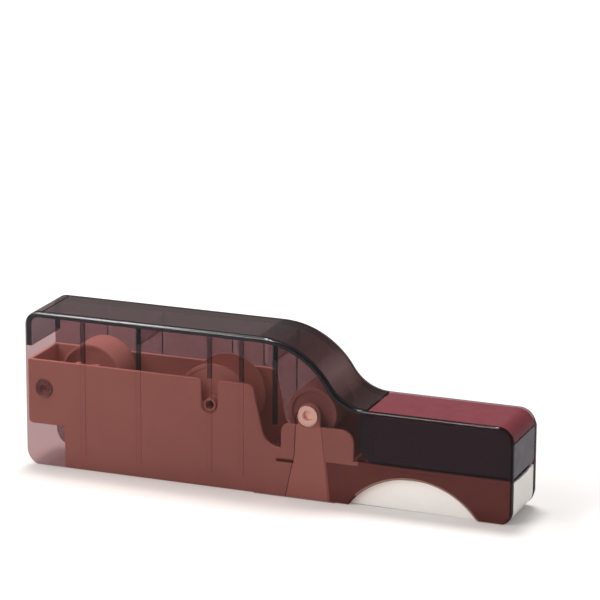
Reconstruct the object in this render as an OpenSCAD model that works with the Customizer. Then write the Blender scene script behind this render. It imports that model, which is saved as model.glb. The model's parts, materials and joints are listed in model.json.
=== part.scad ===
// Washi tape maker: a roll of washi tape on a drum and a reel of liner run
// through a pair of rollers and out under a press head that cuts the strip.
// The rear is at -X, the cutting nose at +X, and the object stands on Z = 0.

/* [Overall] */
// Length from the rear end to the front of the nose
body_l = 240; // [234:1:262]
// Width over the two clear side plates
body_w = 35; // [34.6:0.1:38]
// Height of the tall rear part
body_h = 75; // [73:0.5:84]
// Height of the nose
nose_h = 46; // [45:0.1:49]

/* [Cover] */
// Thickness of a side plate
panel_t = 1.8; // [1.4:0.1:2.2]
// Thickness of the band over the top
band_t = 2.8; // [2:0.1:3]
// Height of the strip that the band turns down at the rear
strip_h = 17; // [10:0.5:22]
// Rear end to the nose's rear end, where the hollow runs out level
nose_in = 169.8; // [168:0.1:172]
// Radius of the falling shoulder
crown_r = 41.5; // [38:0.5:43]
// Radius of the hollow that runs out into the nose
dip_r = 21; // [18:0.5:23]
// Radius of the upper rear corner
top_r = 6.5; // [4:0.5:9]
// Radius of the lower rear corner
heel_r = 8; // [4:0.5:12]
// Radius of the upper front corner
nose_r = 8; // [5:0.5:9]
// Radius of the lower front corner
toe_r = 7; // [4:0.5:9]
// How far the side plates stay off the table
panel_lift = 0.4; // [0.2:0.1:0.8]
// Rear end to each stiffening rib
rib_in = [28.9, 57.2, 92.9, 108.7, 125.2]; // [20:0.1:130]
// Width of a rib over the chassis walls
rib_t = 2; // [1.2:0.1:2.4]
// Width of a rib beside the chassis walls
line_t = 2.4; // [1.6:0.1:3]
// How far a rib stands in over the chassis walls
rib_h = 1.5; // [1:0.1:2]
// How far a rib stands in beside the chassis walls
line_h = 0.35; // [0.2:0.05:0.4]
// Lowest point of the ribs
rib_z = 7; // [3:0.5:12]
// Depth of the two cross webs under the band
web_h = 8; // [4:0.5:10]
// Height of the thicker part of a side plate along the nose
pad_h = 19; // [16:0.5:20]
// How much thicker the plate is there
pad_d = 0.25; // [0.2:0.05:0.3]
// Rear end to the fine groove across the band
seam_in = 8; // [7:0.5:14]
// Width of that groove
seam_w = 0.6; // [0.4:0.1:1]
// Depth of that groove
seam_d = 0.5; // [0.3:0.1:0.9]
// Depth of the lead-in that takes the boss as the cover closes
lead_d = 1.2; // [1:0.05:1.3]
// Width of the lead-in just under the boss
lead_w = 11.7; // [11:0.1:13]
// Width of the lead-in at the lower edge
mouth_w = 20.7; // [19:0.1:24]
// Length over which the lead-in stays upright under the boss
lead_l = 19; // [15:0.5:21]

/* [Finger arch] */
// Nose's rear end to the middle of the arch
arch_in = 22.7; // [21:0.1:24]
// Radius of the arch
arch_r = 38.3; // [36:0.1:40]
// Height of the arch
arch_top = 15.8; // [12:0.1:17]
// Rounding where the arch runs into the front leg
leg_r = 5; // [3:0.5:6]

/* [Cover hinge] */
// Rear end to the hinge axis
hinge_in = 8.5; // [8:0.1:10]
// Height of the hinge axis
hinge_z = 37.6; // [34:0.1:41]
// Radius of a hollow trunnion
hinge_r = 4.2; // [3.5:0.1:4.6]
// Radius of its bore
hinge_bore = 2.1; // [1.5:0.1:2.6]

/* [Fits] */
// Clearance of a shaft that turns
run_fit = 0.06; // [0.03:0.01:0.1]
// Clearance of a piece that is set in another
seat_fit = 0.02; // [0.01:0.01:0.04]
// Gap between the chassis walls and the side plates
cover_gap = 0.7; // [0.6:0.05:1]
// Gap kept between pieces that move past each other
move_gap = 0.4; // [0.35:0.05:0.5]

/* [Chassis] */
// Thickness of the chassis walls
wall_t = 1.8; // [1.5:0.1:2.2]
// Thickness of the floor
floor_t = 2; // [1.6:0.1:3]
// Height of the long walls
wall_top = 51.4; // [49.5:0.1:52]
// Rear end to the chassis
tail_in = 0.3; // [0.2:0.1:0.6]
// Height of the underside of the rear pocket
pocket_z = 20; // [17:0.5:22]
// Rear end to the step under the rear pocket
pocket_in = 18.8; // [16:0.2:19.4]
// Rear end to where the long walls drop
drop_in = 114; // [112:0.2:116]
// How far that drop leans forward
drop_lean = 6.2; // [4:0.2:7]
// Height of the wall between the drop and the rollers
valley_z = 22.9; // [20:0.1:26]
// Height of the wall beside the rollers
hump_z = 35; // [33.5:0.1:36]
// How far that wall reaches behind the feed roller's axis
hump_rear = 13.8; // [13.4:0.1:14.6]
// How far it reaches ahead of that axis
hump_front = 21.7; // [20:0.1:22]
// Height of the rails along the nose
rail_z = 20.5; // [20:0.1:21]
// Height of the bulkhead behind the nose
bulk_z = 18; // [15:0.5:19]
// Thickness of that bulkhead
bulk_t = 2; // [1.6:0.1:2.6]

/* [Tape drum] */
// Rear end to the drum's axis
hub_in = 30; // [29.6:0.1:31]
// Height of the drum's axis
hub_z = 44.5; // [44:0.1:45.2]
// Radius of the drum, for the usual core of washi tape
hub_r = 15.2; // [14:0.1:15.6]
// Width of the drum
hub_w = 18; // [15:0.5:18.6]
// Wall of the drum
hub_wall = 1.2; // [1:0.1:3]
// Depth of the hollow in each end of the drum
hub_hollow = 3.6; // [2:0.2:7]
// Radius of the drum's axle
hub_axle_r = 3; // [2.4:0.1:3.2]
// How far a cradle stands in from the chassis wall
cradle_t = 2.5; // [2:0.1:2.8]

/* [Liner reel] */
// Rear end to the reel's axis
reel_in = 92.6; // [91.5:0.1:93.2]
// Height of the reel's axis
reel_z = 39.3; // [38:0.1:40]
// Radius of the flanges
reel_r = 18.2; // [16:0.1:19]
// Radius of the barrel between them
reel_hub_r = 9; // [7:0.1:12]
// Width over the flanges
reel_w = 20; // [18:0.5:21]
// Thickness of a flange
flange_t = 1.4; // [1.2:0.1:1.8]
// Radius of the hollow axle
reel_axle_r = 3; // [2.6:0.1:3.3]
// Radius of its bore
reel_bore_r = 2.1; // [1.4:0.1:2.3]
// Half width of the open slot over the axle
slot_rim = 4.1; // [3.8:0.1:4.8]
// Rounding of that slot's mouth
slot_mouth_r = 2; // [1:0.1:3]
// How far a seat of the axle stands in from the chassis wall
seat_t = 1.8; // [1.4:0.1:2]

/* [Rollers] */
// Rear end to the axis of both rollers
feed_in = 141.8; // [141:0.1:142.4]
// Height of the feed roller's axis
feed_z = 40.3; // [39.8:0.1:41]
// Radius of the feed roller
feed_r = 12; // [11.4:0.1:12.2]
// Radius of the feed roller's shaft
feed_shaft_r = 2.34; // [1.8:0.02:2.6]
// Radius of the pinch roller
pinch_r = 6; // [5:0.1:6.4]
// Radius of the pinch roller's shaft
pinch_shaft_r = 1.5; // [1.2:0.1:1.8]
// Gap between the two rollers
nip = 0.3; // [0.2:0.05:0.4]
// Width of the rollers
roller_w = 22; // [20:0.2:22.4]
// Thickness of the grip sleeves
sleeve_t = 1.5; // [1:0.1:2]
// Radius of the boss at the feed roller's axis
boss_r = 4.8; // [4.4:0.1:5]
// How far the boss stands out of the chassis wall
boss_out = 1.6; // [1.3:0.05:1.6]
// How far the feed roller's shaft ends inside the boss
shaft_in = 2; // [1.2:0.1:2.4]
// Radius of the guide rods
guide_r = 1.5; // [1:0.1:2]
// Rear end to each guide rod
guide_in = [70, 117.8]; // [60:0.2:120]
// Height of each guide rod
guide_z = [12, 17]; // [8:0.5:20]

/* [Press head] */
// Thickness of the housing's walls
shell_t = 1.8; // [1.4:0.1:2]
// Thickness of the plate on top
plate_t = 2; // [1.6:0.1:2.2]
// How far the plate is turned down at the front
lip_h = 7.4; // [7:0.1:8]
// Full press of the head in degrees
press_deg = 1.3; // [1.1:0.1:2.2]
// How far the housing reaches back past the nose's rear end
head_tail = 4.6; // [3.6:0.1:5]
// Rounding of the housing's lower rear corner
tail_r = 10; // [7:0.5:11]
// Nose's rear end to the head's pivot
pivot_in = 4.3; // [4:0.1:5]
// Height of the pivot
pivot_z = 26; // [25:0.1:27]
// Radius of the pivot pin
pin_r = 1.5; // [1.2:0.1:1.8]
// Front end to the blade
blade_in = 6; // [5.6:0.1:7]
// Thickness of the blade
blade_t = 0.5; // [0.3:0.05:0.7]
// Height of the blade
blade_h = 12.4; // [11:0.2:13]
// Height of the edge over the table
blade_up = 0.9; // [0.6:0.1:1.1]
// Front end to the return springs
spring_in = 16; // [14:0.5:20]
// How far a return spring reaches over the table
spring_up = 4.8; // [4.2:0.1:6]
// Mean radius of a return spring
coil_r = 1.3; // [1.1:0.05:1.35]
// Wire radius of a return spring
wire_r = 0.3; // [0.2:0.02:0.32]
// Turns of a return spring
turns = 5; // [4:1:7]

/* [Cutter base] */
// How far the cutting table lies under the rails
table_drop = 0.8; // [0.5:0.1:1.2]
// Height of the ledges beside the table
ledge_z = 14.5; // [13.5:0.1:14.6]
// Half width of the tape channel
channel_w = 7.8; // [7.6:0.1:8.2]
// Depth of the tape channel
channel_d = 0.4; // [0.3:0.1:0.6]
// Thickness of the base's front flange
apron_t = 1; // [0.8:0.1:1.2]
// How far that flange is set in from the front end
apron_in = 0.4; // [0.3:0.1:0.6]
// Thickness of the counter blade
counter_t = 0.8; // [0.6:0.1:1.2]

/* [Screws] */
// Shank radius of the base screws
screw_r = 1.4; // [1:0.1:1.6]
// Head radius of the base screws
screw_head_r = 2.6; // [2.2:0.1:3]
// Head height of the base screws
screw_head_h = 1.6; // [1.2:0.1:2]
// Length of a base screw in the base
screw_l = 8; // [6:0.5:10]
// Distance of the base screws from the middle
screw_side = 8; // [6:0.5:9]
// Height of the base screws
screw_up = 8; // [5:0.5:9]
// Shank radius of the blade screws
pin_screw_r = 1.1; // [0.8:0.1:1.3]
// Head radius of the blade screws
pin_head_r = 2; // [1.6:0.1:2.4]
// Head height of the blade screws
pin_head_h = 1.2; // [0.8:0.1:1.6]
// Distance of the blade screws from the middle
pin_side = 6; // [4.5:0.1:6.4]
// Height of the blade screws over the edge
pin_up = 8.4; // [7:0.1:9.4]

/* [Hidden] */
$fn = 96;
e = 1;

terracotta = [0.78, 0.49, 0.41];
smoke = [0.42, 0.30, 0.32];
dark = [0.16, 0.15, 0.18];
burgundy = [0.48, 0.20, 0.25];
white = [0.93, 0.91, 0.88];
steel = [0.72, 0.73, 0.75];
rubber = [0.55, 0.52, 0.50];

// Ends of the object and the layers across its width
x_rear = -body_l / 2;
x_front = body_l / 2;
y_panel = body_w / 2 - panel_t;
y_wall = y_panel - cover_gap;
y_in = y_wall - wall_t;
y_head = y_panel - pad_d - 0.35;
y_skirt = y_in - move_gap;
y_shell = y_skirt - shell_t + 0.2;
y_table = y_shell - 0.6;

// Shoulder and hollow of the side outline, two arcs that touch
dip_x = x_rear + nose_in;
dip_c = [dip_x, nose_h + dip_r];
crown_z = body_h - crown_r;
crown_c = [dip_x - sqrt(pow(crown_r + dip_r, 2) - pow(dip_c[1] - crown_z, 2)), crown_z];
fall = (dip_c - crown_c) / norm(dip_c - crown_c);

// Finger arch and the rounding of the leg in front of it
arch_c = [dip_x + arch_in, arch_top - arch_r];
arch_x = arch_c[0] - sqrt(pow(arch_r, 2) - pow(arch_c[1], 2));
leg_c = [arch_c[0] + sqrt(pow(arch_r + leg_r, 2) - pow(leg_r - arch_c[1], 2)), leg_r];
leg_touch = arch_c + arch_r * (leg_c - arch_c) / norm(leg_c - arch_c);

// Axes, each as X and Z
hinge = [x_rear + hinge_in, hinge_z];
hub = [x_rear + hub_in, hub_z];
reel = [x_rear + reel_in, reel_z];
feed = [x_rear + feed_in, feed_z];
pinch = [feed[0], feed_z - feed_r - nip - pinch_r];
pivot = [dip_x + pivot_in, pivot_z];
guides = [for (i = [0:len(guide_in) - 1]) [x_rear + guide_in[i], guide_z[i]]];

// Chassis
x_tail = x_rear + tail_in;
x_step = x_rear + pocket_in;
x_drop = x_rear + drop_in;
drop_foot = [x_drop + drop_lean, valley_z];
lean = (drop_foot - [x_drop, wall_top]) / norm(drop_foot - [x_drop, wall_top]);
pocket_t = 1.4;
arm_r = boss_r + 0.6;
x_bulk = arch_x - 0.5;
ear_y = y_table - 2.2;
ear_r = pin_r + 2.1;
cradle_y = y_in - cradle_t;
seat_y = y_in - seat_t;
seat_w = slot_rim + 3;
pad_y = roller_w / 2 + move_gap;
pad_w = pinch_shaft_r + 4.3;
pad_z = pinch[1] + pinch_r - 1.2;

// Press head
plate_in = 0.2;
x_head = dip_x - head_tail;
x_cheek = dip_x + 3.3;
x_plate = dip_x + move_gap;
x_band = dip_x - 0.2;
lip_z = nose_h - lip_h;
shell_in = plate_in + plate_t;
roof_z = nose_h - shell_in - shell_t;
tail_top = nose_h - band_t - 0.9;
skirt_z = rail_z - 1.1;
step_z = pivot_z;
table_z = rail_z - table_drop;
rail_in = apron_in + apron_t + 0.3;
stroke = (x_front - pivot[0]) * sin(press_deg);
mouth_z = table_z + stroke + move_gap;
x_blade = x_front - blade_in;
blade_z = table_z + blade_up;
blade_w = y_table - 2.1;
clamp_t = 1.5;
clamp_h = 6;
web_t = 2;
pin_z = blade_z + pin_up;
x_web = x_blade + blade_t;

// Cutter base and springs
x_table = pivot[0] + 6;
nest_z = ledge_z - 1.5;
slot_w = 1;
x_counter = x_blade + slot_w + 0.1;
counter_z = table_z - channel_d;
spring_x = x_front - spring_in;
spring_y = (channel_w + y_shell) / 2 - 0.2;
spring_z0 = ledge_z;
spring_z1 = table_z + spring_up;
post_r = coil_r + wire_r + 0.2;

// What a rounded corner adds or takes away between two edges that leave p along a and b
module corner(p, a, b, r) {
    half = acos(a * b) / 2;
    middle = (a + b) / norm(a + b);
    centre = p + middle * r / sin(half);
    difference() {
        polygon([p - middle, p + a * r / tan(half), centre, p + b * r / tan(half)]);
        translate(centre) circle(r = r);
    }
}

// A side outline drawn in X and Z, as a plate that starts at y
module plate_at(y, t) {
    translate([0, y + t, 0]) rotate([90, 0, 0]) linear_extrude(height = t) children();
}

// A side outline drawn in X and Z, to both sides of the middle
module across(half_w) {
    rotate([90, 0, 0]) linear_extrude(height = 2 * half_w, center = true) children();
}

module both_sides() {
    children();
    mirror([0, 1, 0]) children();
}

// A round bar across the object, at an axis given as X and Z
module bar(at, r, y0, y1) {
    translate([at[0], y1, at[1]]) rotate([90, 0, 0]) cylinder(r = r, h = y1 - y0);
}

module roller(at, r, half_w) {
    bar(at, r, -half_w, half_w);
}

// The whole side outline, set in by i at the top and the ends
module side_area(i = 0) {
    touch = crown_c + fall * (crown_r - i);
    difference() {
        union() {
            translate([x_rear + i, 0]) square([crown_c[0] - x_rear - i, body_h - i]);
            intersection() {
                translate(crown_c) circle(r = crown_r - i);
                translate([crown_c[0] - e, 0]) square([crown_r + e, body_h]);
            }
            translate([crown_c[0] - e, 0]) square([x_front - i - crown_c[0] + e, nose_h - i]);
            difference() {
                translate([touch[0] - e, nose_h - i - e]) square([dip_x - touch[0] + e, touch[1] - nose_h + i + e]);
                translate(dip_c) circle(r = dip_r + i);
            }
        }
        corner([x_rear + i, body_h - i], [1, 0], [0, -1], top_r - i);
        corner([x_rear + i, 0], [1, 0], [0, 1], heel_r - i);
        corner([x_front - i, nose_h - i], [-1, 0], [0, -1], nose_r - i);
        corner([x_front - i, 0], [-1, 0], [0, 1], toe_r - i);
    }
}

module arch_area() {
    translate(arch_c) circle(r = arch_r);
    difference() {
        polygon([leg_touch, leg_c, [leg_c[0], -e], [leg_touch[0] - 2, -e]]);
        translate(leg_c) circle(r = leg_r);
    }
}

// The part of an outline right of x0 and left of x1, between two heights
module window(x0, x1, z0, z1) {
    translate([x0, z0]) square([x1 - x0, z1 - z0]);
}

// Cover

module panel_area() {
    difference() {
        side_area();
        arch_area();
        window(x_rear - e, x_front + e, -e, panel_lift);
    }
}

function rib_x(i) = x_rear + rib_in[i];
function is_main(i) = i == 1 || i == 4;

// A rib is deep over the chassis wall and only a line beside it; the last one reaches down past the wall's drop
module ribs() {
    for (i = [0:len(rib_in) - 1]) {
        deep_z = i == 4 ? hump_z - 1 : wall_top + 0.8;
        plate_at(y_panel - rib_h, rib_h + panel_t / 2) intersection() {
            side_area(band_t);
            window(rib_x(i) - rib_t / 2, rib_x(i) + rib_t / 2, deep_z, body_h);
        }
        if (i < 4)
            plate_at(y_panel - line_h, line_h + panel_t / 2)
                window(rib_x(i) - line_t / 2, rib_x(i) + line_t / 2, rib_z, deep_z);
    }
}

// Front edge of the lead-in at height z
function lead_x(z) = feed[0] + lead_w / 2 + (mouth_w - lead_w) / 2 * (feed_z - z) / feed_z;

// Along the nose the plate is a little thicker, from the lead-in to the front
module nose_pad() {
    plate_at(y_panel - pad_d, pad_d + panel_t / 2) intersection() {
        panel_area();
        polygon([
            [lead_x(pad_h) + 0.4, pad_h],
            [x_front, pad_h],
            [x_front, 0],
            [lead_x(0) + 0.4, 0]
        ]);
    }
}

// The lead-in follows the boss as the cover swings, so its mouth leans to the rear
module lead_in_area() {
    lean_x = norm(feed - hinge) - sqrt(pow(norm(feed - hinge), 2) - pow(hinge_z, 2));
    polygon([
        [feed[0] - lead_w / 2, feed_z],
        [feed[0] + lead_w / 2, feed_z],
        [lead_x(-e), -e],
        [feed[0] - lean_x - lead_w / 2, -e],
        [feed[0] - lead_w / 2 - 0.7, feed_z - lead_l]
    ]);
}

module cover_side() {
    color(smoke) difference() {
        union() {
            plate_at(y_panel, panel_t) panel_area();
            ribs();
            nose_pad();
            bar(hinge, hinge_r, y_in - 0.6, y_panel + panel_t / 2);
        }
        plate_at(y_panel - e, lead_d + e) lead_in_area();
        bar(feed, boss_r + 0.2, y_in, body_w / 2 + e);
        bar(hinge, hinge_bore, y_in - e, y_panel);
    }
}

module cover_side_right() {
    mirror([0, 1, 0]) cover_side();
}

module cover_side_left() {
    cover_side();
}

module cover_band() {
    color(smoke) difference() {
        union() {
            across(y_panel) intersection() {
                difference() {
                    side_area();
                    side_area(band_t);
                }
                union() {
                    window(x_rear - e, x_rear + top_r, body_h - strip_h, body_h + e);
                    window(x_rear + top_r - e, x_band, nose_h - band_t - e, body_h + e);
                }
            }
            for (i = [0:len(rib_in) - 1]) if (is_main(i))
                across(y_panel - rib_h) intersection() {
                    side_area(band_t / 2);
                    window(rib_x(i) - rib_t / 2, rib_x(i) + rib_t / 2, body_h - band_t - web_h, body_h);
                }
        }
        across(y_panel + e) window(x_rear + seam_in, x_rear + seam_in + seam_w, body_h - seam_d, body_h + e);
    }
}

// Chassis

// Open slot that an axle of radius r drops into
module drop_slot(at, r) {
    translate(at) circle(r = r);
    window(at[0] - r, at[0] + r, at[1], wall_top + e);
}

module wall_area() {
    difference() {
        union() {
            polygon([
                [x_tail, 0],
                [x_tail, wall_top],
                [x_drop, wall_top],
                drop_foot,
                [drop_foot[0], 0]
            ]);
            window(drop_foot[0] - e, feed[0], 0, valley_z);
            corner(drop_foot, -lean, [1, 0], 9);
            window(feed[0] - hump_rear, feed[0] + hump_front, 0, hump_z);
            window(feed[0] - arm_r, feed[0] + arm_r, hump_z - e, feed_z);
            translate(feed) circle(r = arm_r);
            intersection() {
                side_area(rail_in);
                window(feed[0], x_front, 0, rail_z);
            }
        }
        window(x_tail - e, x_step, -e, pocket_z);
        corner([x_tail, pocket_z], [1, 0], [0, 1], 2);
        corner([x_drop, wall_top], [-1, 0], lean, 4);
        corner([feed[0] - hump_rear, hump_z], [1, 0], [0, -1], 4);
        corner([feed[0] + hump_front, hump_z], [-1, 0], [0, -1], 6);
        arch_area();
        drop_slot(reel, slot_rim);
        corner([reel[0] - slot_rim, wall_top], [-1, 0], [0, -1], slot_mouth_r);
        corner([reel[0] + slot_rim, wall_top], [1, 0], [0, -1], slot_mouth_r);
        translate(hinge) circle(r = hinge_r + run_fit);
        window(feed[0] - 16, feed[0] - 7.6, valley_z - 6.9, valley_z - 5.2);
    }
}

module ear_area() {
    translate(pivot) circle(r = ear_r);
    polygon([
        [x_bulk - e, nest_z + 0.3],
        [x_bulk - e, bulk_z],
        [pivot[0] - 2 * ear_r, bulk_z],
        [pivot[0] - ear_r, pivot_z],
        [pivot[0] + ear_r, pivot_z],
        [pivot[0] + ear_r, nest_z + 0.3]
    ]);
}

module cradle_area() {
    difference() {
        window(hub[0] - hub_axle_r - 3, hub[0] + hub_axle_r + 3, hub_z - 14, wall_top);
        drop_slot(hub, hub_axle_r + run_fit);
    }
}

module reel_seat_area() {
    difference() {
        window(reel[0] - seat_w, reel[0] + seat_w, reel_z - seat_w, reel_z + 1);
        drop_slot(reel, reel_axle_r + run_fit);
    }
}

module pinch_pad_area() {
    difference() {
        window(pinch[0] - pad_w, pinch[0] + pad_w, floor_t / 2, pad_z);
        drop_slot(pinch, pinch_shaft_r + run_fit);
    }
}

module chassis() {
    color(terracotta) difference() {
        union() {
            both_sides() {
                plate_at(y_in, wall_t) wall_area();
                plate_at(cradle_y, cradle_t + wall_t / 2) cradle_area();
                plate_at(seat_y, seat_t) reel_seat_area();
                plate_at(pad_y, y_in - pad_y + wall_t / 2) pinch_pad_area();
                plate_at(ear_y, y_table - ear_y) ear_area();
                bar(feed, boss_r, y_in, y_wall + boss_out);
            }
            across(y_in + wall_t / 2) {
                window(x_step, x_bulk, 0, floor_t);
                window(x_tail, x_tail + wall_t, pocket_z + 2, wall_top);
                window(x_tail + 2, x_step + pocket_t, pocket_z, pocket_z + pocket_t);
                window(x_tail, x_tail + 4, pocket_z + 2, pocket_z + 2 + pocket_t);
                window(x_step, x_step + pocket_t, 0, pocket_z + pocket_t);
                window(x_bulk - bulk_t, x_bulk, 0, bulk_z);
            }
        }
        both_sides() {
            bar(feed, feed_shaft_r + run_fit, 0, body_w);
            bar(pivot, pin_r + seat_fit, 0, y_table + e);
            for (g = guides) bar(g, guide_r + seat_fit, 0, y_in + 0.8);
            translate([x_bulk - bulk_t - e, screw_side, screw_up])
                rotate([0, 90, 0]) cylinder(r = screw_r + seat_fit, h = bulk_t + 2 * e);
        }
    }
}

module guide_rods() {
    color(steel) for (g = guides) roller(g, guide_r, y_in + 0.7);
}

module head_pivot_pin() {
    color(steel) roller(pivot, pin_r, y_skirt - 0.1);
}

// Cutter base

module cutter_base() {
    color(white) difference() {
        union() {
            across(y_in - seat_fit) intersection() {
                side_area(apron_in + apron_t);
                union() {
                    window(x_bulk, x_table + e, 0, nest_z);
                    window(x_table, x_front, 0, ledge_z);
                }
            }
            across(y_table) intersection() {
                side_area(apron_in + apron_t);
                window(x_table, x_front, ledge_z - e, table_z);
            }
            across(y_wall) intersection() {
                difference() {
                    side_area(apron_in);
                    side_area(apron_in + apron_t);
                }
                window(x_front - toe_r, x_front, 0, table_z);
            }
        }
        across(channel_w) window(x_table - e, x_front + e, table_z - channel_d, table_z + e);
        across(blade_w + 1) window(x_blade - slot_w, x_counter + e, ledge_z + 1, table_z + e);
        across(y_table + e) window(x_counter, x_front - apron_in - apron_t, counter_z - counter_t, table_z + e);
        both_sides() {
            translate([spring_x, spring_y, ledge_z]) cylinder(r = post_r + 0.3, h = 2 * e + table_z - ledge_z);
            translate([x_bulk - e, screw_side, screw_up])
                rotate([0, 90, 0]) cylinder(r = screw_r + seat_fit, h = screw_l + 1 + e);
            for (k = [0:2]) translate([x_table + k * 16, 1.2, -e]) cube([14, y_in - 3.6, nest_z - 3 + e]);
        }
    }
}

// Plate set in the table's front, whose rear edge the blade shears past
module counter_blade() {
    color(steel) across(y_table)
        window(x_counter, x_front - apron_in - apron_t, counter_z - counter_t, counter_z);
}

module base_screws() {
    color(steel) both_sides() translate([x_bulk - bulk_t, screw_side, screw_up]) rotate([0, 90, 0]) {
        translate([0, 0, -screw_head_h]) cylinder(r = screw_head_r, h = screw_head_h);
        cylinder(r = screw_r, h = bulk_t + screw_l);
    }
}

// Return springs, each one wire wound from the ledge up to its post

function coil_point(k) =
    let (a = k * 45, z = spring_z0 + wire_r + k * (spring_z1 - spring_z0 - 2 * wire_r) / (8 * turns))
    [coil_r * cos(a), coil_r * sin(a), z];
coil = [for (k = [0:8 * turns]) coil_point(k)];
coil_gap = min([for (k = [0:8 * turns - 8]) norm(coil[k + 8] - coil[k])]) - 2 * wire_r;
echo(least_gap_between_spring_turns = coil_gap);

module wire() {
    n = len(coil);
    rings = [
        for (k = [0:n - 1]) for (s = [0:5])
            let (out = [cos(k * 45), sin(k * 45), 0])
            coil[k] + wire_r * (cos(60 * s) * out + sin(60 * s) * [0, 0, 1])
    ];
    sides = [
        for (k = [0:n - 2]) for (s = [0:5])
            let (a = 6 * k + s, b = 6 * k + (s + 1) % 6)
            each [[a, b, b + 6], [a, b + 6, a + 6]]
    ];
    caps = [
        for (s = [1:4]) each [[0, s + 1, s], [6 * n - 6, 6 * n - 6 + s, 6 * n - 5 + s]]
    ];
    polyhedron(points = rings, faces = concat(sides, caps));
}

module return_springs() {
    color(steel) both_sides() translate([spring_x, spring_y, 0]) wire();
}

// Press head

// The cheeks stay above the rails over the whole stroke, and the front lip above the table
module cheek_area() {
    low = rail_z + move_gap;
    difference() {
        union() {
            intersection() {
                side_area(plate_in);
                window(x_cheek, x_front, 0, lip_z - move_gap);
            }
            intersection() {
                side_area(shell_in);
                window(x_cheek, x_front, lip_z - 2, nose_h);
            }
        }
        polygon([
            [x_cheek - e, -e],
            [x_cheek - e, low],
            [pivot[0], low],
            [x_front - rail_in + move_gap, low + stroke],
            [x_front - rail_in + move_gap, mouth_z],
            [x_front + e, mouth_z],
            [x_front + e, -e]
        ]);
    }
}

module skirt_area() {
    difference() {
        intersection() {
            side_area(shell_in);
            union() {
                window(x_head, x_cheek + e, skirt_z, tail_top);
                window(x_cheek, x_front, skirt_z, nose_h);
            }
        }
        corner([x_head, skirt_z], [1, 0], [0, 1], tail_r);
    }
}

module head_housing() {
    color(dark) difference() {
        union() {
            difference() {
                union() {
                    across(y_skirt) skirt_area();
                    across(y_head) cheek_area();
                }
                across(y_shell) window(x_head + shell_t, x_front - plate_in - shell_t, 0, tail_top - shell_t);
                across(y_shell) window(x_head - e, x_head + 2 * shell_t, 0, pivot_z + 4);
                across(y_head - shell_t)
                    window(x_cheek + shell_t, x_front - plate_in - shell_t - 1, step_z, roof_z);
            }
            across(y_shell + 0.2) window(x_blade + blade_t, x_blade + blade_t + web_t, mouth_z + 2, roof_z + 0.2);
            both_sides() translate([spring_x, spring_y, spring_z1]) cylinder(r = post_r, h = roof_z - spring_z1 + 0.2);
        }
        bar(pivot, pin_r + run_fit, -y_skirt - 0.1, y_skirt + 0.1);
        both_sides() translate([x_blade, pin_side, pin_z])
            rotate([0, 90, 0]) cylinder(r = pin_screw_r + seat_fit, h = blade_t + web_t - 0.5);
    }
}

module press_plate() {
    color(burgundy) across(y_head) intersection() {
        difference() {
            side_area(plate_in);
            side_area(shell_in);
        }
        window(x_plate, x_front, lip_z, nose_h);
    }
}

// The edge is slanted, so that the cut begins at one side of the strip
module cutter_blade() {
    color(steel) difference() {
        translate([x_blade, 0, 0]) rotate([90, 0, 90]) linear_extrude(height = blade_t) polygon([
            [-blade_w, blade_z + 0.4],
            [blade_w, blade_z - 0.1],
            [blade_w, blade_z + blade_h],
            [-blade_w, blade_z + blade_h]
        ]);
        both_sides() translate([x_blade - e, pin_side, pin_z])
            rotate([0, 90, 0]) cylinder(r = pin_screw_r + seat_fit, h = blade_t + 2 * e);
    }
}

module blade_clamp() {
    color(dark) difference() {
        across(blade_w) window(x_blade - clamp_t, x_blade, pin_z - clamp_h / 2, pin_z + clamp_h / 2);
        both_sides() translate([x_blade - clamp_t - e, pin_side, pin_z])
            rotate([0, 90, 0]) cylinder(r = pin_screw_r + seat_fit, h = clamp_t + 2 * e);
    }
}

module blade_screws() {
    color(steel) both_sides() translate([x_blade - clamp_t, pin_side, pin_z]) rotate([0, 90, 0]) {
        translate([0, 0, -pin_head_h]) cylinder(r = pin_head_r, h = pin_head_h);
        cylinder(r = pin_screw_r, h = clamp_t + blade_t + web_t - 0.6);
    }
}

// Tape drum

module rear_hub() {
    color(terracotta) difference() {
        roller(hub, hub_r, hub_w / 2);
        both_sides() difference() {
            bar(hub, hub_r - hub_wall, hub_w / 2 - hub_hollow, hub_w / 2 + e);
            bar(hub, hub_axle_r + 2, 0, hub_w / 2 + 2 * e);
        }
        roller(hub, hub_axle_r + seat_fit, hub_w);
    }
}

module rear_hub_axle() {
    color(steel) {
        roller(hub, hub_axle_r, y_in - 0.3);
        both_sides() bar(hub, hub_axle_r + 1.2, hub_w / 2, cradle_y - move_gap);
    }
}

// Liner reel

module liner_reel_hub() {
    color(terracotta) difference() {
        roller(reel, reel_hub_r, reel_w / 2 - flange_t);
        both_sides() difference() {
            bar(reel, reel_hub_r - 1.8, 1.2, reel_w);
            bar(reel, reel_axle_r + 1.6, 0, 2 * reel_w);
        }
        roller(reel, reel_axle_r + seat_fit, reel_w);
    }
}

module liner_reel_flanges() {
    color(terracotta) both_sides() difference() {
        bar(reel, reel_r, reel_w / 2 - flange_t, reel_w / 2);
        difference() {
            bar(reel, reel_r - 1.8, reel_w / 2 - 0.5, reel_w / 2 + e);
            bar(reel, reel_axle_r + 3, 0, reel_w);
        }
        bar(reel, reel_axle_r + seat_fit, 0, reel_w);
    }
}

module liner_reel_axle() {
    color(terracotta) difference() {
        union() {
            roller(reel, reel_axle_r, y_wall - move_gap);
            both_sides() bar(reel, reel_axle_r + 1.2, reel_w / 2, seat_y - move_gap);
        }
        roller(reel, reel_bore_r, body_w);
    }
}

// Rollers

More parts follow.
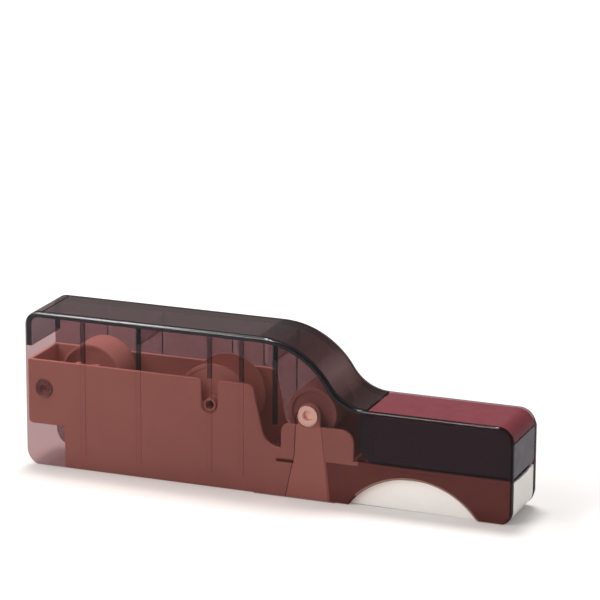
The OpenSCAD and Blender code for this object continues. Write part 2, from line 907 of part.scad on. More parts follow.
module feed_roller() {
    color(terracotta) difference() {
        union() {
            roller(feed, feed_r - sleeve_t, roller_w / 2);
            both_sides() bar(feed, feed_r, roller_w / 2 - 1.5, roller_w / 2);
            roller(feed, feed_shaft_r + 1.6, y_in - move_gap);
        }
        both_sides() difference() {
            bar(feed, feed_r - 2.2, roller_w / 2 - 1, roller_w);
            bar(feed, feed_shaft_r + 1.6, 0, 2 * roller_w);
        }
        roller(feed, feed_shaft_r + seat_fit, roller_w);
    }
}

module feed_sleeve() {
    color(rubber) difference() {
        roller(feed, feed_r, roller_w / 2 - 1.5);
        roller(feed, feed_r - sleeve_t, roller_w);
    }
}

module feed_shaft() {
    color(terracotta) roller(feed, feed_shaft_r, y_wall + boss_out - shaft_in);
}

module pinch_roller() {
    color(terracotta) difference() {
        roller(pinch, pinch_r - sleeve_t, roller_w / 2);
        roller(pinch, pinch_shaft_r + seat_fit, roller_w);
    }
}

module pinch_sleeve() {
    color(rubber) difference() {
        roller(pinch, pinch_r, roller_w / 2 - 0.2);
        roller(pinch, pinch_r - sleeve_t, roller_w);
    }
}

module pinch_shaft() {
    color(steel) roller(pinch, pinch_shaft_r, y_in - 0.3);
}

chassis();
cutter_base();
counter_blade();
base_screws();
head_pivot_pin();
guide_rods();
return_springs();
cover_band();
cover_side_left();
cover_side_right();
head_housing();
press_plate();
cutter_blade();
blade_clamp();
blade_screws();
rear_hub();
rear_hub_axle();
liner_reel_hub();
liner_reel_flanges();
liner_reel_axle();
feed_roller();
feed_sleeve();
feed_shaft();
pinch_roller();
pinch_sleeve();
pinch_shaft();
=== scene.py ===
"""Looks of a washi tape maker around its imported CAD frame.

A clear smoky cover closes over a terracotta chassis with a tape drum, a liner reel and a pair of
rollers. The nose holds a dark press head with a burgundy plate over a white cutter base.
The rear is at -X, the nose at +X, and the photographed side faces -Y. Places and radii on the
pieces are in millimetres, and all other lengths are in metres.
"""

import json
import math

import bmesh
import bpy
from mathutils import Matrix, Vector


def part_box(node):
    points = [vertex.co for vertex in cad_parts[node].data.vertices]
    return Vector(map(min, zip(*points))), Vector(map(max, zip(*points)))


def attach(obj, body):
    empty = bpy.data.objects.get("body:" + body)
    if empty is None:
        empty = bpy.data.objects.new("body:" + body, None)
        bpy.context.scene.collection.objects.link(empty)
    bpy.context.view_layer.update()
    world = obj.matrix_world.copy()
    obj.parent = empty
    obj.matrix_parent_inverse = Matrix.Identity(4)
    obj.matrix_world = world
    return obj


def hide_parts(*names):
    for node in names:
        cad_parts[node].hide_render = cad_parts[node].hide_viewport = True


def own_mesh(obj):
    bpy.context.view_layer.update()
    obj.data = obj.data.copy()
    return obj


MM = 0.001
X, Y, Z = 0, 1, 2

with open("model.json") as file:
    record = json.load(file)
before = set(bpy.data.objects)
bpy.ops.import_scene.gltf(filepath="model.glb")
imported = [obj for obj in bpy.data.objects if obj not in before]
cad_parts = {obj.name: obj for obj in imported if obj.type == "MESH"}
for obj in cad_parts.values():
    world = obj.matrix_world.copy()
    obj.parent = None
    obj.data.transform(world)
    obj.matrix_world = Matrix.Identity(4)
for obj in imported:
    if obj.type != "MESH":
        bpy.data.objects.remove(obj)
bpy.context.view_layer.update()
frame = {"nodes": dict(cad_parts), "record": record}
NODES = frame["nodes"]
RECORD = frame["record"]
BODIES = RECORD["behaviour"]["bodies"]
BODY_OF = {node: body for body, members in BODIES.items() for node in members}
SLOT_OF = {part["node"]: part["material_slot"] for part in RECORD["subparts"]}

# Camera, fitted to the photograph

CAMERA_AZIMUTH = 21.281
CAMERA_ELEVATION = 15.523
CAMERA_ROLL = 0.235
CAMERA_DISTANCE = 1.4515
CAMERA_TARGET = Vector((0.011388, 0.0, 0.089659))
CAMERA_LENS = 191.13
CAMERA_SENSOR = 36.0
CAMERA_REACH = 20.0


def look_from(azimuth, elevation):
    """Unit vector from the object to a point at that azimuth, counted from -Y to +X, and that
    elevation."""
    a, e = math.radians(azimuth), math.radians(elevation)
    return Vector((math.sin(a) * math.cos(e), -math.cos(a) * math.cos(e), math.sin(e)))


def make_camera():
    data = bpy.data.cameras.new("camera")
    data.lens = CAMERA_LENS
    data.sensor_width = CAMERA_SENSOR
    data.clip_end = CAMERA_REACH
    camera = bpy.data.objects.new("camera", data)
    bpy.context.scene.collection.objects.link(camera)
    back = look_from(CAMERA_AZIMUTH, CAMERA_ELEVATION)
    turn = (-back).to_track_quat("-Z", "Y").to_matrix().to_4x4()
    roll = Matrix.Rotation(math.radians(CAMERA_ROLL), 4, "Z")
    camera.matrix_world = Matrix.Translation(CAMERA_TARGET + back * CAMERA_DISTANCE) @ turn @ roll
    bpy.context.scene.camera = camera


# Materials

NOISE_LOW, NOISE_HIGH = 0.3, 0.7


class Graph:
    """The nodes of a material or a world, with short calls to add and link them."""

    def __init__(self, owner):
        owner.use_nodes = True
        self.owner = owner
        self.tree = owner.node_tree
        self.tree.nodes.clear()

    def add(self, kind, settings=None, **inputs):
        node = self.tree.nodes.new("ShaderNode" + kind)
        for key, value in (settings or {}).items():
            setattr(node, key, value)
        for key, value in inputs.items():
            self.put(node.inputs[key.replace("_", " ")], value)
        return node

    def put(self, socket, value):
        if isinstance(value, bpy.types.NodeSocket):
            self.tree.links.new(value, socket)
        else:
            socket.default_value = value

    def math(self, operation, a, b=0.0):
        node = self.add("Math", {"operation": operation})
        self.put(node.inputs[0], a)
        self.put(node.inputs[1], b)
        return node.outputs[0]

    def place(self):
        return self.add("TexCoord").outputs["Object"]

    def noise(self, scale, detail=2.0):
        return self.add("TexNoise", Vector=self.place(), Scale=scale, Detail=detail).outputs[0]

    def spread(self, factor, low, high):
        """A noise, which lies around a half, carried to low..high."""
        node = self.add("MapRange", From_Min=NOISE_LOW, From_Max=NOISE_HIGH)
        self.put(node.inputs["Value"], factor)
        self.put(node.inputs["To Min"], low)
        self.put(node.inputs["To Max"], high)
        return node.outputs[0]

    def along(self, stops):
        """A colour that runs along X through stops of an X in millimetres and a colour."""
        x = self.add("SeparateXYZ", Vector=self.place()).outputs["X"]
        first, last = stops[0][0], stops[-1][0]
        share = self.add("MapRange", Value=x, From_Min=first * MM, From_Max=last * MM)
        ramp = self.add("ValToRGB", Fac=share.outputs[0])
        elements = ramp.color_ramp.elements
        elements[0].color = shade(stops[0][1])
        elements[1].color = shade(stops[-1][1])
        for at, color in stops[1:-1]:
            elements.new((at - first) / (last - first)).color = shade(color)
        return ramp.outputs[0]

    def scaled(self, color, factor):
        node = self.add("VectorMath", {"operation": "SCALE"}, Scale=factor)
        self.put(node.inputs[0], color)
        return node.outputs[0]

    def multiplied(self, a, b):
        node = self.add("VectorMath", {"operation": "MULTIPLY"})
        self.put(node.inputs[0], a)
        self.put(node.inputs[1], b)
        return node.outputs[0]

    def blend(self, factor, a, b):
        node = self.add("Mix", {"data_type": "RGBA"})
        self.put(node.inputs[0], factor)
        self.put(node.inputs[6], a)
        self.put(node.inputs[7], b)
        return node.outputs[2]

    def mix(self, factor, a, b):
        node = self.add("MixShader")
        self.put(node.inputs[0], factor)
        self.put(node.inputs[1], a.outputs[0])
        self.put(node.inputs[2], b.outputs[0])
        return node

    def seen(self):
        """One for a ray of the view, also past a mirror or through clear plastic, else zero."""
        path = self.add("LightPath")
        first = self.math("MAXIMUM", path.outputs["Is Camera Ray"], path.outputs["Is Glossy Ray"])
        return self.math("MAXIMUM", first, path.outputs["Is Transmission Ray"])

    def finish(self, surface, kind="Material"):
        self.add("Output" + kind, Surface=surface.outputs[0])
        return self.owner


def shade(color):
    return tuple(color) + (1.0,)


SPECK_SCALE, SPECK_SHARE = 1500.0, 0.3
CLOUD_SCALE, CLOUD_DETAIL = 45.0, 3.0
TONE_LOW, TONE_HIGH = 0.96, 1.035
GLOSS_SCALE, GLOSS_DETAIL, GLOSS_SPREAD = 160.0, 3.0, 0.04


def moulded(name, color, roughness, gloss):
    """Opaque moulded plastic: a slight cloud in its colour, which can run along X, fine specks and
    uneven gloss."""
    g = Graph(bpy.data.materials.new(name))
    specks = g.math("MULTIPLY", g.noise(SPECK_SCALE), SPECK_SHARE)
    cloud = g.math("MULTIPLY", g.noise(CLOUD_SCALE, CLOUD_DETAIL), 1.0 - SPECK_SHARE)
    tone = g.along(color) if isinstance(color[0], tuple) else color
    base = g.scaled(tone, g.spread(g.math("ADD", specks, cloud), TONE_LOW, TONE_HIGH))
    uneven = g.noise(GLOSS_SCALE, GLOSS_DETAIL)
    rough = g.spread(uneven, roughness - GLOSS_SPREAD, roughness + GLOSS_SPREAD)
    return g.finish(
        g.add("BsdfPrincipled", Base_Color=base, Roughness=rough, Specular_IOR_Level=gloss)
    )


STEEL_COLOR = (0.62, 0.62, 0.64)
STEEL_SMOOTH, STEEL_ROUGH = 0.22, 0.34
STEEL_SCALE = 900.0
SCRATCH_SCALE, SCRATCH_STRENGTH, SCRATCH_DEPTH = 5000.0, 0.05, 0.00005


def bright_steel(name):
    """Ground steel with uneven gloss and very fine scratches."""
    g = Graph(bpy.data.materials.new(name))
    rough = g.spread(g.noise(STEEL_SCALE), STEEL_SMOOTH, STEEL_ROUGH)
    scratches = g.noise(SCRATCH_SCALE)
    bump = g.add("Bump", Strength=SCRATCH_STRENGTH, Distance=SCRATCH_DEPTH, Height=scratches)
    steel = g.add("BsdfPrincipled", Roughness=rough, Normal=bump.outputs[0], Metallic=1.0)
    g.put(steel.inputs["Base Color"], shade(STEEL_COLOR))
    return g.finish(steel)


LIT = (0.93, 0.88, 0.87)
HAZE_AND_PAINTED_LIGHT_SHARE = 0.75
# Painted shade: what the smoky plastics pass darkens along X towards the nose, where less light
# gets in
PAINTED_SHADE_ALONG_X = ((-110.0, (1.0, 1.0, 1.0)), (20.0, (0.95, 0.95, 0.95)), (110.0, (0.92, 0.9, 0.9)))
STREAK_SCALE, STREAK_LOW, STREAK_HIGH = 30.0, 0.985, 1.015
MIRROR_FACE_ON = 0.04
MIRROR_POWER = 5.0


def smoky(name, see, gloss, leave=None, lit=LIT, haze_and_painted_light=None, roughness=0.05):
    """Clear tinted plastic. A face passes the share see of what lies behind it, or leave where
    the view runs out of the plastic, darker towards the nose as painted shade, and lets the lamps
    in by the share lit, which can run along X. The outside mirrors by gloss times what such
    plastic would, and the haze colour is that of a diffuse share along X: milky haze, which also
    holds a painted reflection on the band's S-curve and a painted highlight on the arch's rim."""
    g = Graph(bpy.data.materials.new(name))
    path = g.add("LightPath")
    light_ray = g.math("MAXIMUM", path.outputs["Is Shadow Ray"], path.outputs["Is Diffuse Ray"])
    inside = g.add("NewGeometry").outputs["Backfacing"]
    outside = g.math("SUBTRACT", 1.0, inside)
    streaks = g.spread(g.noise(STREAK_SCALE), STREAK_LOW, STREAK_HIGH)
    tint = g.blend(inside, shade(see), shade(leave or see))
    # Painted shade: the share passed darkens towards the nose
    passed = g.scaled(g.multiplied(tint, g.along(PAINTED_SHADE_ALONG_X)), streaks)
    entering = g.along(lit) if isinstance(lit[0], tuple) else shade(lit)
    body = g.add("BsdfTransparent", Color=g.blend(light_ray, passed, entering))
    # A diffuse layer: milky haze, and on the S-curve and the arch's rim painted light as well
    if haze_and_painted_light:
        hazy_and_painted_layer = g.add("BsdfDiffuse", Color=g.along(haze_and_painted_light))
        shown = g.math("MULTIPLY", outside, g.math("SUBTRACT", 1.0, light_ray))
        body = g.mix(g.math("MULTIPLY", shown, HAZE_AND_PAINTED_LIGHT_SHARE), body, hazy_and_painted_layer)
    facing = g.math("POWER", g.add("LayerWeight", Blend=0.5).outputs["Facing"], MIRROR_POWER)
    grazing = g.math("MULTIPLY", facing, (1.0 - MIRROR_FACE_ON) * gloss)
    fresnel = g.math("ADD", grazing, MIRROR_FACE_ON * gloss)
    mirror = g.add("BsdfGlossy", Roughness=roughness)
    return g.finish(g.mix(g.math("MULTIPLY", fresnel, outside), body, mirror))


TERRACOTTA = moulded("terracotta_plastic", (0.74, 0.415, 0.34), 0.45, gloss=0.4)
SLATE = moulded("slate_plastic", (0.064, 0.053, 0.075), 0.35, gloss=0.08)
HEAD_EDGE = moulded("slate_edge", (0.03, 0.055, 0.065), 0.35, gloss=0.08)
BURGUNDY = moulded("burgundy_plastic", (0.118, 0.0155, 0.0225), 0.4, gloss=0.04)
WHITE = moulded("white_plastic", (0.92, 0.885, 0.84), 0.45, gloss=0.4)
# Painted shade: a darker copy of the terracotta for the feed roller, which sits in shade
ROLLER_PAINTED_SHADE = moulded("roller_painted_shade", (0.48, 0.265, 0.225), 0.45, gloss=0.3)
# Painted shade: a darker copy of the terracotta for the chassis's boss rings in the plates' holes
BOSS_PAINTED_SHADE = moulded("terracotta_boss_painted_shade", (0.54, 0.315, 0.27), 0.5, gloss=0.2)
SLEEVE = moulded("grip_sleeve", (0.5, 0.29, 0.24), 0.7, gloss=0.3)
STEEL = bright_steel("bright_steel")

# The side plates: their walls, then ribs and grooves, then the edges all round

SATIN = 0.12
EDGE_LEAVE = (0.4, 0.33, 0.33)
RIM_LEAVE = (0.6, 0.5, 0.5)
# Painted highlight: a diffuse layer on the underside of the arch's rim, for the light line along
# the arch's edge
ARCH_HIGHLIGHT_COLOR = (0.32, 0.2, 0.165)
ARCH_PAINTED_HIGHLIGHT = ((50.0, ARCH_HIGHLIGHT_COLOR), (120.0, ARCH_HIGHLIGHT_COLOR))
SMOKE = smoky("smoky_plastic", (0.605, 0.492, 0.502), gloss=0.33)
SMOKE_THIN = smoky("smoky_plastic_thin", (0.72, 0.6, 0.6), gloss=0.33)
# Painted shade: the plate darker over the nose below the head, where less light gets in
SMOKE_NOSE_PAINTED_SHADE = smoky("smoky_plastic_painted_shade", (0.3, 0.19, 0.19), gloss=0.33)
SMOKE_LINE = smoky("smoky_plastic_line", (0.46, 0.36, 0.37), gloss=0.1)
SMOKE_RIB = smoky("smoky_plastic_rib", (0.7, 0.65, 0.68), gloss=0.1, leave=(0.24, 0.22, 0.24))
SMOKE_MAIN = smoky(
    "smoky_plastic_main_rib", (0.62, 0.57, 0.6), gloss=0.1, leave=(0.11, 0.19, 0.2)
)
SMOKE_BEAD = smoky(
    "smoky_plastic_bead", (0.25, 0.2, 0.21), gloss=2.1, leave=(0.62, 0.51, 0.52), roughness=0.1
)
SMOKE_RIM = smoky(
    "smoky_plastic_rim", (0.2, 0.16, 0.17), gloss=0.5, leave=RIM_LEAVE, roughness=SATIN
)
SMOKE_FRONT = smoky(
    "smoky_plastic_front_rim", (0.1, 0.08, 0.09), gloss=0.3, leave=EDGE_LEAVE, roughness=SATIN
)
SMOKE_NOSE_RIM = smoky(
    "smoky_plastic_nose_rim", (0.12, 0.08, 0.085), gloss=0.2, leave=EDGE_LEAVE, roughness=SATIN
)
SMOKE_ARCH = smoky(
    "smoky_plastic_arch",
    (0.5, 0.4, 0.4),
    gloss=0.3,
    leave=RIM_LEAVE,
    haze_and_painted_light=ARCH_PAINTED_HIGHLIGHT,
    roughness=SATIN,
)
TRUNNION = moulded("smoky_trunnion", (0.5, 0.3, 0.29), 0.4, gloss=0.2)

# The band: its top and S-curve, whose haze holds a painted reflection as a soft light patch, then
# its inside and dark sides

BAND_LIT = ((-120.0, (1.0, 0.96, 0.95)), (-75.0, (0.88, 0.81, 0.81)), (-15.0, (0.5, 0.4, 0.4)))
BAND_HAZE = ((-120.0, (0.042, 0.027, 0.027)), (0.0, (0.038, 0.024, 0.024)))
CURVE_LIT = (0.45, 0.35, 0.35)
# Milky haze along the S-curve, with a painted reflection: the lighter patch round x 30.5 stands
# for the bright surroundings mirrored in the hollow of the curve
CURVE_HAZE_AND_PAINTED_REFLECTION = (
    (0.0, (0.012, 0.007, 0.007)),
    (18.0, (0.022, 0.006, 0.006)),
    (24.0, (0.037, 0.014, 0.014)),
    (30.5, (0.138, 0.076, 0.077)),
    (34.5, (0.078, 0.033, 0.033)),
    (38.5, (0.017, 0.005, 0.004)),
    (50.0, (0.012, 0.005, 0.003)),
)
BAND_LEAVE = (0.55, 0.52, 0.54)
BAND_OUT = smoky(
    "smoky_band_outside",
    (0.4, 0.3, 0.31),
    gloss=0.22,
    leave=BAND_LEAVE,
    lit=BAND_LIT,
    haze_and_painted_light=BAND_HAZE,
)
BAND_CURVE = smoky(
    "smoky_band_curve",
    (0.36, 0.26, 0.26),
    gloss=0.22,
    leave=BAND_LEAVE,
    lit=CURVE_LIT,
    haze_and_painted_light=CURVE_HAZE_AND_PAINTED_REFLECTION,
)
BAND_IN = smoky(
    "smoky_band_inside", BAND_LEAVE, gloss=0.1, leave=(0.5, 0.42, 0.43), lit=BAND_LIT
)
BAND_WEB = smoky("smoky_band_web", (0.8, 0.78, 0.8), gloss=0.1, lit=BAND_LIT)
SIDE_DARK = (0.01, 0.012, 0.015)
SIDE_TONE = (
    (-120.0, (0.1, 0.13, 0.16)),
    (-117.0, (0.07, 0.09, 0.11)),
    (-113.0, SIDE_DARK),
    (120.0, SIDE_DARK),
)
BAND_SIDE = moulded("smoky_band_side", SIDE_TONE, 0.2, gloss=0.2)
BAND_WEB_SIDE = moulded("smoky_web_side", (0.07, 0.1, 0.12), 0.3, gloss=0.2)
BAND_EDGE = moulded("smoky_band_edge", (0.014, 0.012, 0.013), 0.5, gloss=0.0)
BAND_GROOVE = moulded("band_seam", (0.008, 0.008, 0.01), 0.4, gloss=0.0)

MATERIAL_OF = {
    "terracotta": TERRACOTTA,
    "smoke": SMOKE,
    "dark_plastic": SLATE,
    "burgundy": BURGUNDY,
    "white_plastic": WHITE,
    "steel": STEEL,
    "sleeve": SLEEVE,
}
# The feed roller takes the terracotta's painted-shade copy
OWN_MATERIAL = {"feed_roller": ROLLER_PAINTED_SHADE}

# Pieces: an edge sharper than SHARP is rounded, faces within FLAT are one face, shading runs on
# up to an angle whose cosine is SOFT, and what turns less than IN_LINE counts as straight on

SHARP = math.radians(35)
FLAT = math.radians(1.0)
SOFT = math.cos(math.radians(40))
IN_LINE = math.radians(20)
WIDEST_TURN = 2.2
FACE_ROOM = 1.05
END_ROOM = 1.2
ROUND_STEPS = 3
SAME_PLACE = 1e-6


def even_normals(data):
    """Shade a mesh so that its rounded edges run softly into its flat faces."""
    around = [[] for _ in data.vertices]
    for polygon in data.polygons:
        polygon.use_smooth = True
        for index in polygon.vertices:
            around[index].append((polygon.normal.copy(), polygon.area))
    normals = []
    for polygon in data.polygons:
        for index in polygon.vertices:
            total = Vector()
            for normal, area in around[index]:
                if normal.dot(polygon.normal) > SOFT:
                    total += normal * area
            normals.append(total.normalized())
    data.normals_split_custom_set(normals)


def any_edge(_):
    return True


def crossing(face, behind, place, along):
    """The edge of a face that a line square to along meets first, other than the edge behind, and
    how far it lies from place."""
    inward = face.normal.cross(along)
    found = (math.inf, None)
    for edge in face.edges:
        a, b = (vert.co - place for vert in edge.verts)
        before, after = a.dot(along), b.dot(along)
        if edge == behind or before * after > 0 or before == after:
            continue
        reach = a.lerp(b, before / (before - after)).dot(inward)
        if 0 < reach < found[0]:
            found = (reach, edge)
    return found


def space_across(face, edge, chosen, enough):
    """How far the surface reaches from the middle of an edge, square to it, up to an edge where it
    turns, or half of that where this edge is rounded too. Past enough it isn't followed."""
    loop = next(side for side in face.loops if side.edge == edge)
    along = (loop.link_loop_next.vert.co - loop.vert.co).normalized()
    place = (edge.verts[0].co + edge.verts[1].co) / 2
    space = 0.0
    while space < enough:
        reach, met = crossing(face, edge, place, along)
        space += reach
        if met is None:
            break
        if abs(met.calc_face_angle_signed(math.pi)) > IN_LINE:
            return space / 2 if met in chosen else space
        place = place + face.normal.cross(along) * reach
        face = next(side for side in met.link_faces if side != face)
        edge = met
    return space


def has_room(edge, chosen, radius):
    """True if a rounding fits along an edge: its own length between two turns, its two faces, and
    the sharp edges that end on it, leave space for the radius."""
    needed = radius * FACE_ROOM
    if any(space_across(face, edge, chosen, 2 * needed) < needed for face in edge.link_faces):
        return False
    taken = 0.0
    for vert in edge.verts:
        run = vert.co - edge.other_vert(vert).co
        turn = 0.0
        for other in vert.link_edges:
            angle = run.angle(other.other_vert(vert).co - vert.co, 0.0)
            if other == edge or angle < IN_LINE:
                continue
            if other in chosen:
                turn = max(turn, angle)
            elif other.calc_length() < END_ROOM * radius:
                return False
        taken += radius * math.tan(min(turn, WIDEST_TURN) / 2)
    return edge.calc_length() > taken


def edges_to_round(mesh, radius, takes):
    """The sharp outer edges that a test takes and that have room for the radius."""
    chosen = {
        edge
        for edge in mesh.edges
        if edge.is_manifold
        and edge.calc_face_angle_signed(0) > SHARP
        and takes((edge.verts[0].co + edge.verts[1].co) / 2 / MM)
    }
    tight = True
    while tight:
        tight = {edge for edge in chosen if not has_room(edge, chosen, radius * MM)}
        chosen -= tight
    return list(chosen)


def cut_across(mesh, cuts):
    """Cut the faces of a mesh by planes, each an axis and a place."""
    for axis, place in cuts:
        everything = mesh.verts[:] + mesh.edges[:] + mesh.faces[:]
        across = Vector([float(i == axis) for i in (X, Y, Z)])
        bmesh.ops.bisect_plane(
            mesh, geom=everything, plane_co=across * place * MM, plane_no=across
        )


def rounded_piece(node, *rounds, cuts=(), late_cuts=()):
    """A copy of a CAD node that stands for it, its outer edges rounded in turn: each round is
    a radius and a test that says which edges it takes. Large faces with holes are cut first, and
    faces that change their material partway are cut last."""
    mesh = bmesh.new()
    mesh.from_mesh(NODES[node].data)
    bmesh.ops.remove_doubles(mesh, verts=mesh.verts, dist=SAME_PLACE)
    bmesh.ops.dissolve_limit(mesh, angle_limit=FLAT, verts=mesh.verts, edges=mesh.edges)
    cut_across(mesh, cuts)
    for radius, takes in rounds:
        bmesh.ops.bevel(
            mesh,
            geom=edges_to_round(mesh, radius, takes),
            offset=radius * MM,
            offset_type="OFFSET",
            segments=ROUND_STEPS,
            profile=0.5,
            affect="EDGES",
            clamp_overlap=False,
            miter_outer="ARC",
        )
        bmesh.ops.remove_doubles(mesh, verts=mesh.verts, dist=SAME_PLACE)
    cut_across(mesh, late_cuts)
    data = bpy.data.meshes.new(node + "_piece")
    mesh.to_mesh(data)
    mesh.free()
    piece = bpy.data.objects.new(node + "_piece", data)
    bpy.context.scene.collection.objects.link(piece)
    even_normals(data)
    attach(piece, BODY_OF[node])
    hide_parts(node)
    data.materials.append(OWN_MATERIAL.get(node) or MATERIAL_OF[SLOT_OF[node]])
    return piece


def dress(piece, pick):
    """Give each face of a piece the material that pick names from its middle and its normal, or
    leave it as it is."""
    data = piece.data
    for polygon in data.polygons:
        material = pick(polygon.center / MM, polygon.normal)
        if material is None:
            continue
        if data.materials.find(material.name) < 0:
            data.materials.append(material)
        polygon.material_index = data.materials.find(material.name)


# The opaque pieces: each edge takes the largest of three roundings that fits

EDGE_RADIUS = {
    "chassis": 0.45,
    "cutter_base": 0.5,
    "head_housing": 0.5,
    "press_plate": 0.4,
    "rear_hub": 0.25,
    "liner_reel_flanges": 0.25,
    "liner_reel_hub": 0.25,
    "liner_reel_axle": 0.2,
    "feed_roller": 0.3,
    "feed_sleeve": 0.2,
    "pinch_sleeve": 0.2,
    "pinch_roller": 0.2,
    "feed_shaft": 0.25,
    "pinch_shaft": 0.25,
    "rear_hub_axle": 0.25,
    "guide_rods": 0.2,
    "head_pivot_pin": 0.2,
    "base_screws": 0.2,
    "blade_screws": 0.2,
    "blade_clamp": 0.15,
}
FINE_RADIUS = 0.1
BASE_CUT = 118.0
HEAD_EDGE_WIDTH = 1.8
SIDEWAYS = 0.5
HEAD_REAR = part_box("head_housing")[0][0] / MM + HEAD_EDGE_WIDTH
CUTS = {"cutter_base": ((X, BASE_CUT),)}
LATE_CUTS = {"head_housing": ((X, HEAD_REAR),)}

pieces = {}
for node, radius in EDGE_RADIUS.items():
    rounds = ((radius, any_edge), (radius / 2, any_edge), (FINE_RADIUS, any_edge))
    cuts, late_cuts = CUTS.get(node, ()), LATE_CUTS.get(node, ())
    pieces[node] = rounded_piece(node, *rounds, cuts=cuts, late_cuts=late_cuts)


def head_material(at, normal):
    """A darker strip down the rear edge of the head's sides."""
    return HEAD_EDGE if at.x < HEAD_REAR and abs(normal.y) > SIDEWAYS else None


dress(pieces["head_housing"], head_material)

for node in ("cutter_blade", "counter_blade"):
    NODES[node].data.materials.clear()
    NODES[node].data.materials.append(STEEL)

# The return springs under the head, with a rounder wire

springs = rounded_piece("return_springs")
rounder_wire = springs.modifiers.new("rounder_wire", "SUBSURF")
rounder_wire.levels = rounder_wire.render_levels = 1
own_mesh(springs)

# The clear side plates: a soft bead round the outline, dark ribs, a thin groove, painted shade on
# the nose below the head and a painted highlight on the arch's rim

PLATE_IN, PLATE_OUT = 15.7, 17.5
TOUCH = 0.05
RECESS = 0.3
OUTLINE_RADIUS, OUTSIDE_RADIUS = 1.2, 0.25
FLAT_SHARE = 0.9
TURNED = 0.1
FRONT_TURNED = 0.12
RIM_UP = 0.85
HINGE, HINGE_RADIUS = Vector((-111.5, 37.6)), 5.0
BOSS, BOSS_RADIUS = Vector((21.8, 40.3)), 6.0
ARM_REAR, ARM_FRONT, ARM_LOW = 5.0, 34.0, 1.0
RECESS_TOP, HOLE_TOP = 41.0, 47.0
MAIN_RIBS, MAIN_RIB_HALF = ((-62.8, 50.0), (5.2, 25.0)), 2.0
RIB_LOW = 50.0
CURVE_REAR = 0.0
PAD_REAR = 30.0
NOSE_REAR, NOSE_DARK, NOSE_EDGE = 46.0, 22.2, 118.9
ARCH_END, ARCH_LOW = 106.0, 0.6
RAIL_END, RAIL_LOW = 117.0, 17.5
CUT_PLACES = (-100.0, -75.0, -40.0, -5.0, 21.8, 36.0, NOSE_REAR, 60.0, 90.0, 108.0)
PLATE_CUTS = [(X, place) for place in CUT_PLACES] + [(Z, NOSE_DARK)]


def side_distance(at, center):
    return (Vector((at.x, at.z)) - center).length


def by_the_arm(at, top):
    return ARM_REAR < at.x < ARM_FRONT and ARM_LOW < at.z < top


def outside_edge(at):
    return abs(at.y) > PLATE_OUT - TOUCH


def outline_edge(at):
    return outside_edge(at) and not by_the_arm(at, HOLE_TOP)


def inner_material(at, flat):
    """The material of what stands inward from a plate's wall."""
    if side_distance(at, HINGE) < HINGE_RADIUS:
        return TRUNNION
    # Painted shade on the pad inside the nose, below the head
    if at.x > PAD_REAR and at.z < NOSE_DARK:
        return SMOKE_NOSE_PAINTED_SHADE
    if any(abs(at.x - x) < MAIN_RIB_HALF and at.z > low for x, low in MAIN_RIBS):
        return SMOKE_MAIN
    if at.z > RIB_LOW or at.x > CURVE_REAR:
        return SMOKE_RIB
    return SMOKE if flat else SMOKE_LINE


def plate_material(at, normal):
    depth = abs(at.y)
    flat = abs(normal.y) > FLAT_SHARE
    on_nose = at.x > NOSE_REAR
    if at.x > NOSE_EDGE:
        return SMOKE_FRONT
    # Painted highlight on the underside of the arch's rim
    if on_nose and at.x < ARCH_END and at.z > ARCH_LOW and depth > PLATE_IN and normal.z < -TURNED:
        return SMOKE_ARCH
    if on_nose and at.z > NOSE_DARK and normal.z > RIM_UP:
        return SMOKE_NOSE_RIM
    # Painted shade on the nose's wall below the head
    if on_nose and at.z < NOSE_DARK and flat and depth < PLATE_IN + TOUCH:
        return SMOKE_NOSE_PAINTED_SHADE
    if depth < PLATE_IN - TOUCH:
        return inner_material(at, flat)
    if side_distance(at, BOSS) < BOSS_RADIUS and not flat:
        return SMOKE_RIM
    if by_the_arm(at, RECESS_TOP) and PLATE_IN < depth < PLATE_OUT - RECESS:
        if flat:
            return SMOKE_THIN if depth > PLATE_IN + RECESS else SMOKE
        return SMOKE_LINE
    if flat:
        return SMOKE
    if normal.x > FRONT_TURNED:
        return SMOKE_FRONT
    return SMOKE_BEAD if abs(normal.y) > TURNED else SMOKE_RIM


for node in ("cover_side_left", "cover_side_right"):
    rounds = ((OUTLINE_RADIUS, outline_edge), (OUTSIDE_RADIUS, outside_edge))
    plate = rounded_piece(node, *rounds, cuts=PLATE_CUTS, late_cuts=((X, NOSE_EDGE),))
    dress(plate, plate_material)


def chassis_material(at, normal):
    """Painted shade: a darker copy of the terracotta on the rings of the boss in the plates'
    holes, and slate on the ends of the rails at the mouth, which lie in the head's shade.
    """
    if abs(at.y) > PLATE_IN and side_distance(at, BOSS) < BOSS_RADIUS:
        return BOSS_PAINTED_SHADE
    return SLATE if at.x > RAIL_END and at.z > RAIL_LOW else None


dress(pieces["chassis"], chassis_material)

# The band between the plates lies a hair inside them, and its sides and the edges of its top
# are dark

BAND_RADIUS, BAND_UNDER = 0.25, 71.0
BAND_SEAM = 14.4
FLAT_END = -2.9
WEB_REAR, WEB_FRONT = -100.0, 10.0
WEB_SIDE_TOP, WEB_TOP = 70.0, 72.0
GROOVE_FROM, GROOVE_TO = -112.05, -111.35
GROOVE_LOW, GROOVE_TOP = 73.0, 74.9
MOSTLY = 0.7
UPWARD = 0.05
REARWARD = -0.5


def under_top(at):
    return at.z < BAND_UNDER


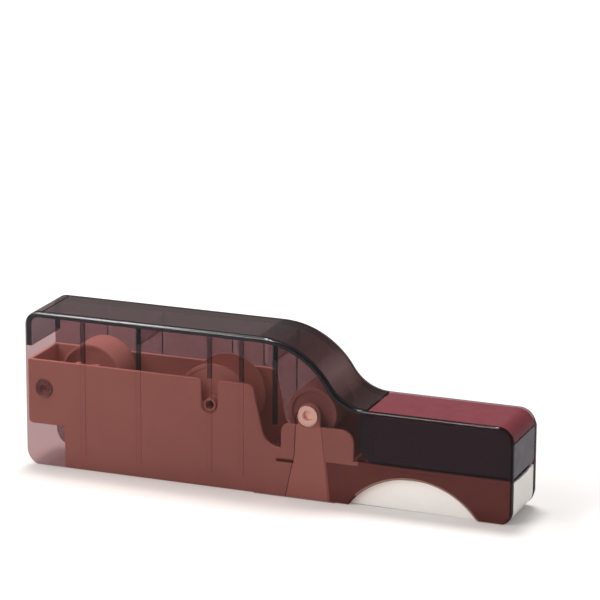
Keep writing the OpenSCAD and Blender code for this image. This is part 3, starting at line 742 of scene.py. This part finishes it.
def band_material(at, normal):
    at_webs = WEB_REAR < at.x < WEB_FRONT
    upward = normal.z > UPWARD
    if abs(normal.y) > MOSTLY:
        return BAND_WEB_SIDE if at_webs and at.z < WEB_SIDE_TOP else BAND_SIDE
    if at_webs and at.z < WEB_TOP and abs(normal.x) > MOSTLY:
        return BAND_WEB
    if GROOVE_FROM < at.x < GROOVE_TO and GROOVE_LOW < at.z < GROOVE_TOP:
        return BAND_GROOVE
    if upward and abs(at.y) > BAND_SEAM:
        return BAND_EDGE
    if upward or normal.x < REARWARD:
        return BAND_CURVE if at.x > FLAT_END else BAND_OUT
    return BAND_IN


band_seams = ((Y, BAND_SEAM), (Y, -BAND_SEAM))
band = rounded_piece("cover_band", (BAND_RADIUS, under_top), late_cuts=band_seams)
for vertex in band.data.vertices:
    vertex.co.y *= (PLATE_IN - TOUCH) / PLATE_IN
dress(band, band_material)

# Floor and light

FLOOR_SIZE = 6.0
FLOOR_COLOR = (0.58, 0.561, 0.547)
NEAR_GLOW = 0.1
GLOW_FROM, GLOW_TO = 0.2, 0.9
AMBIENT = 0.42
PURE_WHITE = (1.0, 1.0, 1.0)


def make_floor():
    """A paper floor that keeps the object's shadow, and turns to white away from the object."""
    g = Graph(bpy.data.materials.new("floor"))
    paper = g.add("BsdfDiffuse", Color=shade(FLOOR_COLOR))
    away = g.add("VectorMath", {"operation": "LENGTH"})
    g.put(away.inputs[0], g.place())
    rise = g.add("MapRange", From_Min=GLOW_FROM, From_Max=GLOW_TO, To_Min=NEAR_GLOW, To_Max=1.0)
    g.put(rise.inputs["Value"], away.outputs["Value"])
    strength = g.math("MULTIPLY", g.seen(), rise.outputs[0])
    glow = g.add("Emission", Color=shade(PURE_WHITE), Strength=strength)
    both = g.add("AddShader")
    g.put(both.inputs[0], paper.outputs[0])
    g.put(both.inputs[1], glow.outputs[0])
    mesh = bmesh.new()
    bmesh.ops.create_grid(mesh, x_segments=1, y_segments=1, size=FLOOR_SIZE / 2)
    data = bpy.data.meshes.new("floor")
    mesh.to_mesh(data)
    mesh.free()
    floor = bpy.data.objects.new("floor", data)
    bpy.context.scene.collection.objects.link(floor)
    data.materials.append(g.finish(both))


def make_world():
    """A world that looks white and lights the object by less."""
    g = Graph(bpy.data.worlds.new("studio"))
    strength = g.add("MapRange", Value=g.seen(), To_Min=AMBIENT, To_Max=1.0)
    light = g.add("Background", Color=shade(PURE_WHITE), Strength=strength.outputs[0])
    bpy.context.scene.world = g.finish(light, "World")


def softbox(name, at, size, power, aim=(0.0, 0.0, 0.0)):
    """A rectangular lamp at a place, its first size along Y where it hangs overhead."""
    data = bpy.data.lights.new(name, "AREA")
    data.shape = "RECTANGLE"
    data.size, data.size_y = size
    data.energy = power
    lamp = bpy.data.objects.new(name, data)
    bpy.context.scene.collection.objects.link(lamp)
    lamp.location = at
    lamp.rotation_euler = (Vector(aim) - Vector(at)).to_track_quat("-Z", "Y").to_euler()


make_camera()
make_floor()
make_world()
softbox("key", at=(-0.2, 0.48, 1.92), size=(0.5, 0.5), power=37.0)
softbox("strip", at=(-0.5, 0.1, 1.0), size=(0.9, 0.12), power=3.2, aim=(0.0, 0.1, 0.0))
softbox("fill", at=(-0.98, -1.17, 1.29), size=(1.2, 1.2), power=21.0)
bpy.context.scene.view_settings.view_transform = "Standard"
